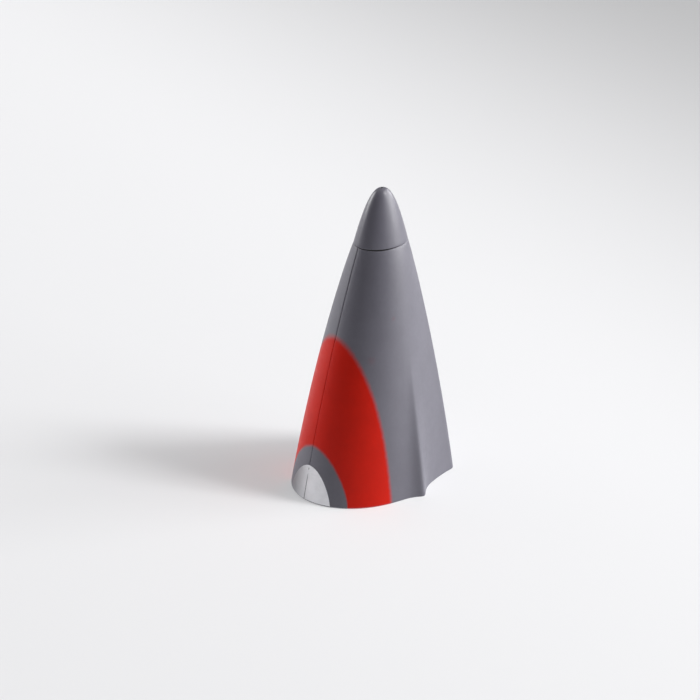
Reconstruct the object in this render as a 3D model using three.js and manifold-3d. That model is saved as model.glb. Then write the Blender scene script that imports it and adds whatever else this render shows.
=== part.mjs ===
// Removable nose cone of a radio-controlled foam ducted-fan model aircraft, standing on its base.
//
// Millimetres, +Z up from the base plane to the tip. The spine (the long, rounded side, where the
// two foam halves show their joint line) faces -Y, the flat belly faces +Y, and +X is the right
// half. The origin is in the base plane, at the middle of the base's width and depth.
//
// The outside is a loft. Every section between the base and the tip ring is a blend of two
// outlines: the base outline (a half ellipse over the spine, a straight flank, a rounded corner and
// a nearly flat belly) and the ellipse of the tip ring. A chine, a sharp lengthwise lip, swells out
// of each flank towards the base. A hard moulded tip closes the front.

import * as THREE from 'three';
import Module from 'manifold-3d';
import { mergeVertices } from 'three/addons/utils/BufferGeometryUtils.js';

// ---------------------------------------------------------------- driving dimensions

const LENGTH = 185;               // base plane to tip
const RING_HEIGHT = 151.7;        // middle of the groove between the shells and the tip
const GROOVE = 0.5;               // width of that groove
const GAP = 0.3;                  // glue or running gap between neighbouring pieces
const WALL = 8;                   // foam wall
const RIM_WALL = 5;               // thinner foam wall round the rear former
const CUT = 5;                    // how far cutting shapes run past what they cut
const OVERLAP = 1;                // how far the shapes that make one piece run into each other
const MERGE_DISTANCE = 1e-4;      // points closer than this are one
const HALF_ROOM = { width: 100, depth: 200, height: 400 };   // a box that holds one half

// base outline, measured from the nose axis: "up" is towards the spine
const SPINE_RISE = 60.6;          // nose axis to the spine
const CHEST_UP = 14.6;            // the widest station lies this far up from the axis
const CHEST_HALF = 39.1;          // half width there, without the chine
const CORNER_DOWN = 33.6;         // belly corner, down from the axis
const CORNER_HALF = 28.3;         // half width at the belly corner
const CORNER_ROUND = 4;           // size of the corner's rounding
const BELLY_DROP = 36.4;          // nose axis to the belly's edges
const BELLY_CROWN = 1;            // the belly bulges this much at the middle

// handles of the curves that join those points
const CHEST_HANDLE = 14;                            // straight down from the widest station
const CORNER_HANDLE = { up: 16, across: 2.2 };      // from the belly corner up the flank
const ROUND_HANDLE = { along: 0.55, aside: 0.12 };  // shares of CORNER_ROUND
const BELLY_HANDLE = { down: 0.3, inward: 5 };      // from the belly's edge
const KEEL_HANDLE = 6;                              // from the middle of the belly

// spine line, up from the axis: SPINE_RISE - SPINE_SLOPE z - SPINE_CURVE z^2
const SPINE_SLOPE = 0.2118;
const SPINE_CURVE = 0.0005;
const WIDTH_POWER = 0.823;        // how the width closes in against the spine line
const BELLY_POWER = 1.054;        // how the belly closes in against the spine line

// tip ring ellipse and the tip's own profile
const RING_UP = 0.7;              // its centre, up from the axis
const RING_RISE = 17.5;           // half height
const RING_HALF = 13.9;           // half width
const TIP_POWER = 0.43;           // bluntness: 0.5 is a paraboloid
const TIP_THINNING = 0.096;       // extra slimming towards the end

// chine
const CHINE_PROUD = 6.6;          // how far the lip stands out at the base
const CHINE_UP = 3;               // its crest, up from the axis at the base
const CHINE_DRIFT = 0.02;         // the crest moves down this much per millimetre of height
const CHINE_REACH = 7.8;          // half breadth of the swelling at the base
const CHINE_END = 88;             // height where it has faded out
const CHINE_FADE = 1.5;
const CHINE_EDGE = 1.6;           // 2 is a round bell, 1 a knife edge
const CHINE_NARROWING = 0.6;      // share of its breadth that it loses on the way up

// foil patch on the spine: an arch
const PATCH_HALF = 18.3;
const PATCH_HEIGHT = 22;
const PATCH_SHOULDER = 2.1;
const PATCH_BOW = 0.78;
const PATCH_STANDOFF = 0.25;
const PATCH_THICKNESS = 0.3;
const PATCH_BOTTOM = 0.6;
const PATCH_EDGE_SHARE = 0.97;    // the arch's feet are cut off at this share of its half width

// rear former and what it carries
const FORMER_BOTTOM = 3.9;
const FORMER_THICKNESS = 5;
const FORMER_TOP = FORMER_BOTTOM + FORMER_THICKNESS;
const HATCH = { up: 12, half: 20, rise: 28 };
const MAGNET_RADIUS = 5;
const MAGNET_THICKNESS = 3;
const MAGNET_PLACES = {
  spine_left: [-20, 36],
  spine_right: [20, 36],
  belly_left: [-18, -22],
  belly_right: [18, -22],
};
const SCREW_RADIUS = 1.5;
const SCREW_HEAD_RADIUS = 2.9;
const SCREW_HEAD_EASE = 0.2;      // the head is this much smaller than its countersink's rim
const SCREW_LENGTH = 8;
const SCREW_POINT = 1.5;
const SCREW_SUNK = 0.1;           // the head lies this far behind the magnet's face
const SCREW_SLOT = { width: 0.7, depth: 0.7 };
const BUSH_PLACES = { left: [-26.3, 5], right: [26.3, 5] };
const BUSH_BORE = 3.3;
const BUSH_RADIUS = 4.5;
const BUSH_FLANGE = 5.6;
const BUSH_FLANGE_THICKNESS = 1.2;

// ballast on the front former
const FRONT_FORMER_BOTTOM = 92;
const FRONT_FORMER_THICKNESS = 3;
const BALLAST_UP = 6;
const BALLAST_RADIUS = 11;
const BALLAST_THICKNESS = 5;
const BALLAST_COUNT = 3;
const BOLT_RADIUS = 2;
const HEX_ACROSS = 7;
const BOLT_HEAD_HEIGHT = 2.8;
const BOLT_END = 1.5;             // the bolt sticks out of the nut by this much
const NUT_HEIGHT = 3.2;
const WASHER = { radius: 4.5, thickness: 0.8 };

// tip spigot and its socket
const CAVITY_TOP = 130;
const SOCKET_BOTTOM = 135;
const SOCKET_WALL = 1.5;
const SPIGOT_BOTTOM = 137;
const SPIGOT = { rise: 10.2, half: 6.6 };
const SPIGOT_WALL = 2.3;
const TIP_HOLLOW_TOP = 165;

// dowels that line the two halves up, near the base and near the tip
const DOWEL_RADIUS = 1.5;
const DOWEL_LENGTH = 12;
const DOWEL_HEIGHTS = { low: 30, high: 105 };

// the base is centred on the origin, so the nose axis lies a little towards the belly
const AXIS_Y = (SPINE_RISE + PATCH_STANDOFF + PATCH_THICKNESS - BELLY_DROP - BELLY_CROWN) / 2;

// ---------------------------------------------------------------- solids

const wasm = await Module();
wasm.setup();

function toSolid(geometry) {
  const bare = geometry.clone();
  bare.deleteAttribute('normal');
  bare.deleteAttribute('uv');
  const merged = mergeVertices(bare, MERGE_DISTANCE);
  return new wasm.Manifold(new wasm.Mesh({
    numProp: 3,
    vertProperties: new Float32Array(merged.attributes.position.array),
    triVerts: new Uint32Array(merged.index.array),
  }));
}

function toGeometry(solid) {
  const mesh = solid.getMesh();
  const geometry = new THREE.BufferGeometry();
  geometry.setAttribute('position', new THREE.BufferAttribute(mesh.vertProperties, 3));
  geometry.setIndex(new THREE.BufferAttribute(mesh.triVerts, 1));
  geometry.computeVertexNormals();
  return geometry;
}

// closed solid through rings of points, each ring anticlockwise seen from above
function loft(rings, apex) {
  const count = rings[0].length;
  const positions = rings.flat().flatMap((point) => point.toArray());
  const indices = [];
  for (let ring = 0; ring < rings.length - 1; ring += 1) {
    for (let i = 0; i < count; i += 1) {
      const a = ring * count + i;
      const b = ring * count + (i + 1) % count;
      indices.push(a, b, b + count, a, b + count, a + count);
    }
  }
  const addFan = (centre, ring, upward) => {
    const hub = positions.length / 3;
    positions.push(...centre.toArray());
    for (let i = 0; i < count; i += 1) {
      const a = ring * count + i;
      const b = ring * count + (i + 1) % count;
      indices.push(...(upward ? [hub, a, b] : [hub, b, a]));
    }
  };
  const top = rings.length - 1;
  addFan(middle(rings[0]), 0, false);
  addFan(apex ?? middle(rings[top]), top, true);
  const geometry = new THREE.BufferGeometry();
  geometry.setAttribute('position', new THREE.Float32BufferAttribute(positions, 3));
  geometry.setIndex(indices);
  geometry.computeVertexNormals();
  return geometry;
}

function middle(ring) {
  const sum = ring.reduce((total, point) => total.add(point), new THREE.Vector3());
  return sum.divideScalar(ring.length);
}

function cylinder(radius, bottom, top, x, y, sides = 24) {
  const geometry = new THREE.CylinderGeometry(radius, radius, top - bottom, sides);
  geometry.rotateX(Math.PI / 2);
  geometry.translate(x, y, (bottom + top) / 2);
  return geometry;
}

// turned piece about a vertical axis through (x, y); profile points are [radius, height]
function turned(profile, x, y, sides = 24) {
  const points = profile.map(([radius, height]) => new THREE.Vector2(radius, height));
  const geometry = new THREE.LatheGeometry(points, sides);
  geometry.rotateX(Math.PI / 2);
  geometry.translate(x, y, 0);
  return geometry;
}

function ellipseRing(up, rise, half, height, sides = 36) {
  const ring = [];
  for (let i = 0; i < sides; i += 1) {
    const angle = (2 * Math.PI * i) / sides;
    const across = half * Math.sin(angle);
    ring.push(new THREE.Vector3(across, AXIS_Y - up - rise * Math.cos(angle), height));
  }
  return ring;
}

function ellipseColumn(up, rise, half, bottom, top) {
  return loft([ellipseRing(up, rise, half, bottom), ellipseRing(up, rise, half, top)]);
}

// ---------------------------------------------------------------- outside shape

const SPINE_STEPS = 12;
const FLANK_STEPS = 15;
const CORNER_STEPS = 4;
const BELLY_STEPS = 4;

// right half of the base outline as [up, across] points, from the spine round to the belly,
// moved inwards by inset
function baseOutline(inset) {
  const points = [];
  const chestHalf = CHEST_HALF - inset;
  for (let i = 0; i < SPINE_STEPS; i += 1) {
    const angle = (Math.PI / 2) * (i / SPINE_STEPS);
    const up = CHEST_UP + (SPINE_RISE - inset - CHEST_UP) * Math.cos(angle);
    points.push([up, chestHalf * Math.sin(angle)]);
  }
  const bezier = (steps, ...corners) => {
    const curve = new THREE.CubicBezierCurve(...corners.map(([u, v]) => new THREE.Vector2(u, v)));
    for (let i = 0; i < steps; i += 1) {
      const point = curve.getPoint(i / steps);
      points.push([point.x, point.y]);
    }
  };
  const corner = [inset - CORNER_DOWN, CORNER_HALF - inset];
  const belly = [inset - BELLY_DROP, CORNER_HALF - inset - CORNER_ROUND];
  const keel = [belly[0] - BELLY_CROWN, 0];
  const along = ROUND_HANDLE.along * CORNER_ROUND;
  const aside = ROUND_HANDLE.aside * CORNER_ROUND;
  bezier(FLANK_STEPS, [CHEST_UP, chestHalf], [CHEST_UP - CHEST_HANDLE, chestHalf],
    [corner[0] + CORNER_HANDLE.up, corner[1] + CORNER_HANDLE.across], corner);
  bezier(CORNER_STEPS, corner, [corner[0] - along, corner[1] - aside],
    [belly[0], belly[1] + along], belly);
  bezier(BELLY_STEPS, belly, [belly[0] - BELLY_HANDLE.down, belly[1] - BELLY_HANDLE.inward],
    [keel[0], KEEL_HANDLE], keel);
  points.push(keel);
  return points;
}

// ellipse of the tip ring, with point i paired with point i of the base outline
function ringOutline(count, inset) {
  const quarter = Math.PI / 2;
  const points = [];
  for (let i = 0; i < count; i += 1) {
    const angle = i <= SPINE_STEPS
      ? quarter * (i / SPINE_STEPS)
      : quarter * (1 + (i - SPINE_STEPS) / (count - 1 - SPINE_STEPS));
    const up = RING_UP + (RING_RISE - inset) * Math.cos(angle);
    points.push([up, (RING_HALF - inset) * Math.sin(angle)]);
  }
  points[count - 1][1] = 0;
  return points;
}

// share of the base outline in the section at this height: 1 at the base, 0 at the tip ring
function baseShare(height) {
  const drop = (z) => SPINE_SLOPE * z + SPINE_CURVE * z * z;
  return Math.max(0, 1 - drop(height) / drop(RING_HEIGHT));
}

function chineBulge(up, height) {
  if (height >= CHINE_END) return 0;
  const fade = height / CHINE_END;
  const reach = CHINE_REACH * (1 - CHINE_NARROWING * fade);
  const offset = Math.abs(up - CHINE_UP + CHINE_DRIFT * height) / reach;
  return CHINE_PROUD * (1 - fade) ** CHINE_FADE * Math.exp(-(offset ** CHINE_EDGE));
}

// right half of the section at a height, as [up, across] points; inner outlines have no chine
function halfSection(height, inset = 0) {
  const share = baseShare(height);
  const base = baseOutline(inset);
  const ring = ringOutline(base.length, inset);
  const last = base.length - 1;
  return base.map(([baseUp, baseAcross], i) => {
    const [ringUp, ringAcross] = ring[i];
    const upShare = i < SPINE_STEPS ? share : share ** BELLY_POWER;
    const up = ringUp + (baseUp - ringUp) * upShare;
    const across = ringAcross + (baseAcross - ringAcross) * share ** WIDTH_POWER;
    const lip = inset === 0 && i > 0 && i < last ? chineBulge(up, height) : 0;
    return [up, across + lip];
  });
}

// full ring of a section, anticlockwise from above, starting at the spine
function sectionRing(height, inset = 0, level = height) {
  const half = halfSection(height, inset);
  const right = half.map(([up, across]) => new THREE.Vector3(across, AXIS_Y - up, level));
  const left = half.slice(1, -1).reverse()
    .map(([up, across]) => new THREE.Vector3(-across, AXIS_Y - up, level));
  return [...right, ...left];
}

// a solid with the section's outline at one height, straight up and down
function sectionSlab(outlineHeight, inset, bottom, top) {
  return loft([bottom, top].map((level) => sectionRing(outlineHeight, inset, level)));
}

// ---------------------------------------------------------------- materials

const colours = {
  paint: new THREE.MeshStandardMaterial({ color: 0x7d7b84, roughness: 0.5 }),
  tip: new THREE.MeshStandardMaterial({ color: 0x77757e, roughness: 0.4 }),
  foil: new THREE.MeshStandardMaterial({ color: 0xbcbcc2, roughness: 0.35, metalness: 0.3 }),
  plywood: new THREE.MeshStandardMaterial({ color: 0xc9a875, roughness: 0.7 }),
  nylon: new THREE.MeshStandardMaterial({ color: 0x2b2b2e, roughness: 0.5 }),
  nickel: new THREE.MeshStandardMaterial({ color: 0xc4c3c0, roughness: 0.2, metalness: 1 }),
  steel: new THREE.MeshStandardMaterial({ color: 0x8e9094, roughness: 0.35, metalness: 1 }),
  ballast: new THREE.MeshStandardMaterial({ color: 0x6a6c70, roughness: 0.5, metalness: 0.9 }),
};

const group = new THREE.Group();

function addPiece(name, geometry, material) {
  const piece = new THREE.Mesh(geometry, material);
  piece.name = name;
  group.add(piece);
}

// ---------------------------------------------------------------- foam shells

const SHELL_HEIGHTS = [0, 8, 18, 30, 44, 58, 72, 88, 104, 120, 136, RING_HEIGHT - GROOVE / 2];
const CAVITY_HEIGHTS = [FORMER_TOP + GAP, 40, 75, 105, CAVITY_TOP];

function hollowBody() {
  const outside = toSolid(loft(SHELL_HEIGHTS.map((height) => sectionRing(height))));
  const cavity = toSolid(loft(CAVITY_HEIGHTS.map((height) => sectionRing(height, WALL))));
  const former = toSolid(loft([-CUT, FORMER_TOP + 2 * GAP].map(
    (level) => sectionRing(Math.max(0, level), RIM_WALL, level))));
  const mouth = toSolid(ellipseColumn(RING_UP, SPIGOT.rise + 2 * GAP + SOCKET_WALL,
    SPIGOT.half + 2 * GAP + SOCKET_WALL, CAVITY_TOP - OVERLAP, LENGTH));
  return outside.subtract(cavity).subtract(former).subtract(mouth);
}

// where the middle of the foam wall crosses the centre plane, on the spine or belly side
function wallMiddle(height, side) {
  const half = halfSection(height);
  const [up] = side === 'spine' ? half[0] : half[half.length - 1];
  return AXIS_Y - up + (side === 'spine' ? WALL / 2 : -WALL / 2);
}

function dowelShape(radius, length, height, side) {
  const geometry = new THREE.CylinderGeometry(radius, radius, length, 20);
  geometry.rotateZ(Math.PI / 2);
  geometry.translate(0, wallMiddle(height, side), height);
  return geometry;
}

function addShells() {
  let body = hollowBody();
  for (const side of ['spine', 'belly']) {
    for (const [place, height] of Object.entries(DOWEL_HEIGHTS)) {
      const socket = dowelShape(DOWEL_RADIUS + GAP, DOWEL_LENGTH + 2 * GAP, height, side);
      body = body.subtract(toSolid(socket));
      const dowel = dowelShape(DOWEL_RADIUS, DOWEL_LENGTH, height, side);
      addPiece(`${side}_dowel_${place}`, dowel, colours.nylon);
    }
  }
  for (const [name, side] of [['left_shell', -1], ['right_shell', 1]]) {
    const room = new THREE.BoxGeometry(HALF_ROOM.width, HALF_ROOM.depth, HALF_ROOM.height);
    room.translate(side * (HALF_ROOM.width + GAP) / 2, 0, LENGTH / 2);
    addPiece(name, toGeometry(body.intersect(toSolid(room))), colours.paint);
  }
}

// ---------------------------------------------------------------- moulded tip and its socket

function addTip() {
  const bottom = RING_HEIGHT + GROOVE / 2;
  const shares = [0, 0.1, 0.22, 0.35, 0.48, 0.6, 0.71, 0.81, 0.89, 0.95, 0.985];
  const rings = shares.map((share) => {
    const scale = (1 - share) ** TIP_POWER * (1 - TIP_THINNING * share);
    const height = bottom + share * (LENGTH - bottom);
    return ellipseRing(RING_UP * (1 - share), RING_RISE * scale, RING_HALF * scale, height, 48);
  });
  const apex = new THREE.Vector3(0, AXIS_Y, LENGTH);
  const cap = toSolid(loft(rings, apex));
  const spigot = ellipseColumn(RING_UP, SPIGOT.rise, SPIGOT.half, SPIGOT_BOTTOM,
    bottom + OVERLAP);
  const hollow = ellipseColumn(RING_UP, SPIGOT.rise - SPIGOT_WALL, SPIGOT.half - SPIGOT_WALL,
    SPIGOT_BOTTOM - CUT, TIP_HOLLOW_TOP);
  const tip = cap.add(toSolid(spigot)).subtract(toSolid(hollow));
  addPiece('nose_tip', toGeometry(tip), colours.tip);
}

function addTipSocket() {
  const bore = { rise: SPIGOT.rise + GAP, half: SPIGOT.half + GAP };
  const top = RING_HEIGHT - GROOVE / 2 - GAP;
  const outside = ellipseColumn(RING_UP, bore.rise + SOCKET_WALL, bore.half + SOCKET_WALL,
    SOCKET_BOTTOM, top);
  const inside = ellipseColumn(RING_UP, bore.rise, bore.half, SOCKET_BOTTOM - CUT, top + CUT);
  addPiece('tip_socket', toGeometry(toSolid(outside).subtract(toSolid(inside))), colours.nylon);
}

// ---------------------------------------------------------------- foil patch

// distance of the spine surface up from the axis, at a height and a distance across
function spineSurface(height, across) {
  const half = halfSection(height);
  const reach = Math.abs(across);
  const i = half.findIndex((point) => point[1] > reach);
  const [lowUp, lowAcross] = half[i - 1];
  const [highUp, highAcross] = half[i];
  return lowUp + (highUp - lowUp) * ((reach - lowAcross) / (highAcross - lowAcross));
}

function patchTop(across) {
  const ratio = Math.abs(across) / PATCH_HALF;
  return PATCH_HEIGHT * (1 - ratio ** PATCH_SHOULDER) ** PATCH_BOW;
}

function addPatch() {
  const columns = 24;
  const rows = 4;
  const edge = PATCH_HALF * PATCH_EDGE_SHARE;
  const rings = [];
  for (let column = 0; column <= columns; column += 1) {
    const across = -edge * Math.cos((Math.PI * column) / columns);
    const skin = (share, lift) => {
      const height = PATCH_BOTTOM + share * (patchTop(across) - PATCH_BOTTOM);
      return new THREE.Vector3(across, AXIS_Y - spineSurface(height, across) - lift, height);
    };
    const shares = Array.from({ length: rows + 1 }, (_, row) => row / rows);
    const inner = shares.map((share) => skin(share, PATCH_STANDOFF));
    const outer = shares.map((share) => skin(share, PATCH_STANDOFF + PATCH_THICKNESS));
    rings.push([...inner, ...outer.reverse()]);
  }
  addPiece('silver_patch', loft(rings), colours.foil);
}

// ---------------------------------------------------------------- rear former

function addRearFormer() {
  let plate = toSolid(sectionSlab(FORMER_TOP, RIM_WALL + GAP, FORMER_BOTTOM, FORMER_TOP));
  const bottom = FORMER_BOTTOM - CUT;
  const top = FORMER_TOP + CUT;
  plate = plate.subtract(toSolid(ellipseColumn(HATCH.up, HATCH.rise, HATCH.half, bottom, top)));
  for (const [across, up] of Object.values(MAGNET_PLACES)) {
    plate = plate.subtract(toSolid(
      cylinder(SCREW_RADIUS + GAP, bottom, top, across, AXIS_Y - up, 16)));
  }
  for (const [across, up] of Object.values(BUSH_PLACES)) {
    plate = plate.subtract(toSolid(cylinder(BUSH_RADIUS + GAP, bottom, top, across, AXIS_Y - up)));
  }
  addPiece('rear_former', toGeometry(plate), colours.plywood);
}

// ring magnet, countersunk on its outer face for the screw that holds it to the former
function addMagnets() {
  const top = FORMER_BOTTOM - GAP;
  const bottom = top - MAGNET_THICKNESS;
  const bore = SCREW_RADIUS + GAP;
  const sink = SCREW_HEAD_RADIUS + GAP;
  const headDepth = SCREW_HEAD_RADIUS - SCREW_RADIUS;
  for (const [place, [across, up]] of Object.entries(MAGNET_PLACES)) {
    const y = AXIS_Y - up;
    const magnet = turned([[sink, bottom], [MAGNET_RADIUS, bottom], [MAGNET_RADIUS, top],
      [bore, top], [bore, bottom + headDepth], [sink, bottom]], across, y, 28);
    addPiece(`magnet_${place}`, magnet, colours.nickel);
    const face = bottom + SCREW_SUNK;
    const tip = face + SCREW_LENGTH;
    const screw = toSolid(turned([[0, face], [SCREW_HEAD_RADIUS - SCREW_HEAD_EASE, face],
      [SCREW_RADIUS, face + headDepth], [SCREW_RADIUS, tip - SCREW_POINT], [0, tip]],
    across, y, 20));
    const slot = new THREE.BoxGeometry(2 * SCREW_HEAD_RADIUS, SCREW_SLOT.width,
      2 * SCREW_SLOT.depth);
    slot.translate(across, y, face);
    addPiece(`screw_${place}`, toGeometry(screw.subtract(toSolid(slot))), colours.steel);
  }
}

// flanged bushes that take the two pegs of the fuselage
function addBushes() {
  const flangeTop = FORMER_BOTTOM - GAP;
  const flangeBottom = flangeTop - BUSH_FLANGE_THICKNESS;
  for (const [place, [across, up]] of Object.entries(BUSH_PLACES)) {
    const bush = turned([[BUSH_BORE, flangeBottom], [BUSH_FLANGE, flangeBottom],
      [BUSH_FLANGE, flangeTop], [BUSH_RADIUS, flangeTop], [BUSH_RADIUS, FORMER_TOP],
      [BUSH_BORE, FORMER_TOP], [BUSH_BORE, flangeBottom]], across, AXIS_Y - up, 28);
    addPiece(`peg_bush_${place}`, bush, colours.nylon);
  }
}

// ---------------------------------------------------------------- front former and ballast

function addFrontFormer(y) {
  const top = FRONT_FORMER_BOTTOM + FRONT_FORMER_THICKNESS;
  const plate = toSolid(sectionSlab(top, WALL + 2 * GAP, FRONT_FORMER_BOTTOM, top));
  const hole = toSolid(cylinder(BOLT_RADIUS + GAP, FRONT_FORMER_BOTTOM - CUT, top + CUT, 0, y, 20));
  addPiece('front_former', toGeometry(plate.subtract(hole)), colours.plywood);
}

function hexagon(bottom, top, y) {
  return cylinder(HEX_ACROSS / Math.sqrt(3), bottom, top, 0, y, 6);
}

function addBallast() {
  const y = AXIS_Y - BALLAST_UP;
  addFrontFormer(y);
  const hole = (bottom, top) => toSolid(
    cylinder(BOLT_RADIUS + GAP, bottom - CUT, top + CUT, 0, y, 20));
  const washerTop = FRONT_FORMER_BOTTOM - GAP;
  const washerBottom = washerTop - WASHER.thickness;
  const washer = toSolid(cylinder(WASHER.radius, washerBottom, washerTop, 0, y));
  addPiece('ballast_washer', toGeometry(washer.subtract(hole(washerBottom, washerTop))),
    colours.steel);

  let level = FRONT_FORMER_BOTTOM + FRONT_FORMER_THICKNESS + GAP;
  for (let count = 1; count <= BALLAST_COUNT; count += 1) {
    const top = level + BALLAST_THICKNESS;
    const disc = toSolid(cylinder(BALLAST_RADIUS, level, top, 0, y, 36));
    addPiece(`ballast_weight_${count}`, toGeometry(disc.subtract(hole(level, top))),
      colours.ballast);
    level = top + GAP;
  }
  const nut = toSolid(hexagon(level, level + NUT_HEIGHT, y));
  addPiece('ballast_nut', toGeometry(nut.subtract(hole(level, level + NUT_HEIGHT))),
    colours.steel);

  const headTop = washerBottom - GAP;
  const head = toSolid(hexagon(headTop - BOLT_HEAD_HEIGHT, headTop, y));
  const shankTop = level + NUT_HEIGHT + BOLT_END;
  const shank = toSolid(cylinder(BOLT_RADIUS, headTop - OVERLAP, shankTop, 0, y, 20));
  addPiece('ballast_bolt', toGeometry(head.add(shank)), colours.steel);
}

addShells();
addTip();
addTipSocket();
addPatch();
addRearFormer();
addMagnets();
addBushes();
addBallast();

export default group;
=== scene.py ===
"""Looks of a foam jet's nose cone: two painted foam halves, a hard moulded tip and a foil patch.

Lengths in the shape section are millimetres, measured as in the CAD source: "up" runs from the nose
axis towards the spine, "across" from the centre plane to the right, and height from the base.
"""

import math

import bmesh
import bpy
from mathutils import Matrix, Vector, noise


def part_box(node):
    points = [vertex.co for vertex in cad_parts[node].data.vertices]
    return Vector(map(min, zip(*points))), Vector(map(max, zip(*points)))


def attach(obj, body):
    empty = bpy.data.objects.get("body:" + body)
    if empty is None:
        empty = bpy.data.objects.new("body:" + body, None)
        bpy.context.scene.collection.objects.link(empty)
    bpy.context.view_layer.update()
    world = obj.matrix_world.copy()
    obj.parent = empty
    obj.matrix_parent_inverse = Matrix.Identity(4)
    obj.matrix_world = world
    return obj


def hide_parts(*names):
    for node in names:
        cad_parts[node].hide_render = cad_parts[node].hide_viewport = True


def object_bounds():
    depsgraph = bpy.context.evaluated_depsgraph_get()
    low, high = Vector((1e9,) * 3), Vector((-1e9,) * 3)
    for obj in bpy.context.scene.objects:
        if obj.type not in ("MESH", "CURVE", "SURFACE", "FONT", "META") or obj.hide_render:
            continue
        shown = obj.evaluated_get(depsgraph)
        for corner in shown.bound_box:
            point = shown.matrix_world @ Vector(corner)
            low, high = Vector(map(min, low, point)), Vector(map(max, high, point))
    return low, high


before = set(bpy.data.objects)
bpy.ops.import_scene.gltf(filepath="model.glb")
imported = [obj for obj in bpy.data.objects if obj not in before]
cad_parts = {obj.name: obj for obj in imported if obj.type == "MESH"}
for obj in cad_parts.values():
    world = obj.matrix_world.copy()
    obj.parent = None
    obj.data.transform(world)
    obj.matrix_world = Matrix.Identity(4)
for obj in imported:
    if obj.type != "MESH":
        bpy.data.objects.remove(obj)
cad_low, cad_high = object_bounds()

MM = 0.001
MERGE_DISTANCE = 0.001    # millimetres

# -------------------- shape, in millimetres

LENGTH = 185.0
RING_HEIGHT = 151.7
GROOVE = 0.5
WALL = 8.0
RIM_WALL = 5.0

SPINE_RISE = 60.6
CHEST_UP = 14.6
CHEST_HALF = 39.1
CORNER_DOWN = 33.6
CORNER_HALF = 28.3
CORNER_ROUND = 6.2
BELLY_DROP = 36.4
BELLY_CROWN = 1.0

CHEST_HANDLE = 14.0       # straight down from the widest station
CORNER_HANDLE = {"up": 16.0, "across": 2.2}     # from the belly corner up the flank
ROUND_HANDLE = {"along": 0.55, "aside": 0.12}   # shares of CORNER_ROUND
BELLY_HANDLE = {"down": 0.3, "inward": 5.0}     # from the belly's edge
KEEL_HANDLE = 6.0         # from the middle of the belly

SPINE_SLOPE = 0.2118
SPINE_CURVE = 0.0005
WIDTH_POWER = 0.823
BELLY_POWER = 1.054

RING_UP = 0.7
RING_RISE = 17.5
RING_HALF = 13.9
TIP_POWER = 0.43
TIP_THINNING = 0.096

CHINE_PROUD = 6.4
CHINE_UP = 2.5
CHINE_DRIFT = 0.02
CHINE_REACH = 6.0
CHINE_END = 88.0
CHINE_FADE = 1.15
CHINE_EDGE = 1.3
CHINE_NARROWING = 0.6
CHINE_SPREAD = 2.2        # the belly side of the crest widens upwards
CHINE_NOSE = 0.5          # rounds the crest
CHINE_ROOT = 10.0         # it fades out this near the centre plane

FORMER_TOP = 8.9
CAVITY_TOP = 130.0
MOUTH_RISE = 12.3
MOUTH_HALF = 8.7
SPIGOT_BOTTOM = 137.0
SPIGOT_RISE = 10.2
SPIGOT_HALF = 6.6
SPIGOT_WALL = 2.3
TIP_HOLLOW_TOP = 165.0

SPINE_STEPS = 34
FLANK_STEPS = 44
CORNER_STEPS = 8
BELLY_STEPS = 12

AXIS_Y = 11.875           # the nose axis lies this far towards the belly from the base's middle


def bezier(points, t):
    weights = ((1 - t) ** 3, 3 * (1 - t) ** 2 * t, 3 * (1 - t) * t * t, t ** 3)
    return tuple(sum(w * p[k] for w, p in zip(weights, points)) for k in (0, 1))


def base_outline(inset):
    """Right half of the base outline, (up, across), from the spine round to the belly."""
    chest = CHEST_HALF - inset
    points = []
    for i in range(SPINE_STEPS):
        angle = math.pi / 2 * i / SPINE_STEPS
        rise = SPINE_RISE - inset - CHEST_UP
        points.append((CHEST_UP + rise * math.cos(angle), chest * math.sin(angle)))
    corner = (inset - CORNER_DOWN, CORNER_HALF - inset)
    belly = (inset - BELLY_DROP, CORNER_HALF - inset - CORNER_ROUND)
    keel = (belly[0] - BELLY_CROWN, 0.0)
    along = ROUND_HANDLE["along"] * CORNER_ROUND
    aside = ROUND_HANDLE["aside"] * CORNER_ROUND
    flank_curve = ((CHEST_UP, chest), (CHEST_UP - CHEST_HANDLE, chest),
                   (corner[0] + CORNER_HANDLE["up"], corner[1] + CORNER_HANDLE["across"]), corner)
    corner_curve = (corner, (corner[0] - along, corner[1] - aside),
                    (belly[0], belly[1] + along), belly)
    belly_curve = (belly, (belly[0] - BELLY_HANDLE["down"], belly[1] - BELLY_HANDLE["inward"]),
                   (keel[0], KEEL_HANDLE), keel)
    for steps, curve in ((FLANK_STEPS, flank_curve), (CORNER_STEPS, corner_curve),
                         (BELLY_STEPS, belly_curve)):
        points += [bezier(curve, i / steps) for i in range(steps)]
    return points + [keel]


def ring_outline(count, rise, half):
    """Right half of an ellipse about the ring's centre, paired point by point with the base."""
    points = []
    for i in range(count):
        share = i / SPINE_STEPS
        if i > SPINE_STEPS:
            share = 1 + (i - SPINE_STEPS) / (count - 1 - SPINE_STEPS)
        angle = math.pi / 2 * share
        points.append((RING_UP + rise * math.cos(angle), half * math.sin(angle)))
    return points


def spine_fall(height):
    """How far the spine has closed in on the axis at a height."""
    return SPINE_SLOPE * height + SPINE_CURVE * height * height


def base_share(height):
    """Share of the base outline, against the ring's, in the section at a height."""
    return max(0.0, 1 - spine_fall(height) / spine_fall(RING_HEIGHT))


def chine_bulge(up, height):
    if height >= CHINE_END:
        return 0.0
    fade = height / CHINE_END
    reach = CHINE_REACH * (1 - CHINE_NARROWING * fade)
    offset = up - CHINE_UP + CHINE_DRIFT * height
    if offset < 0:
        reach *= 1 + CHINE_SPREAD * fade
    rounded = math.hypot(offset, CHINE_NOSE) - CHINE_NOSE
    return CHINE_PROUD * (1 - fade) ** CHINE_FADE * math.exp(-(rounded / reach) ** CHINE_EDGE)


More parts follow.
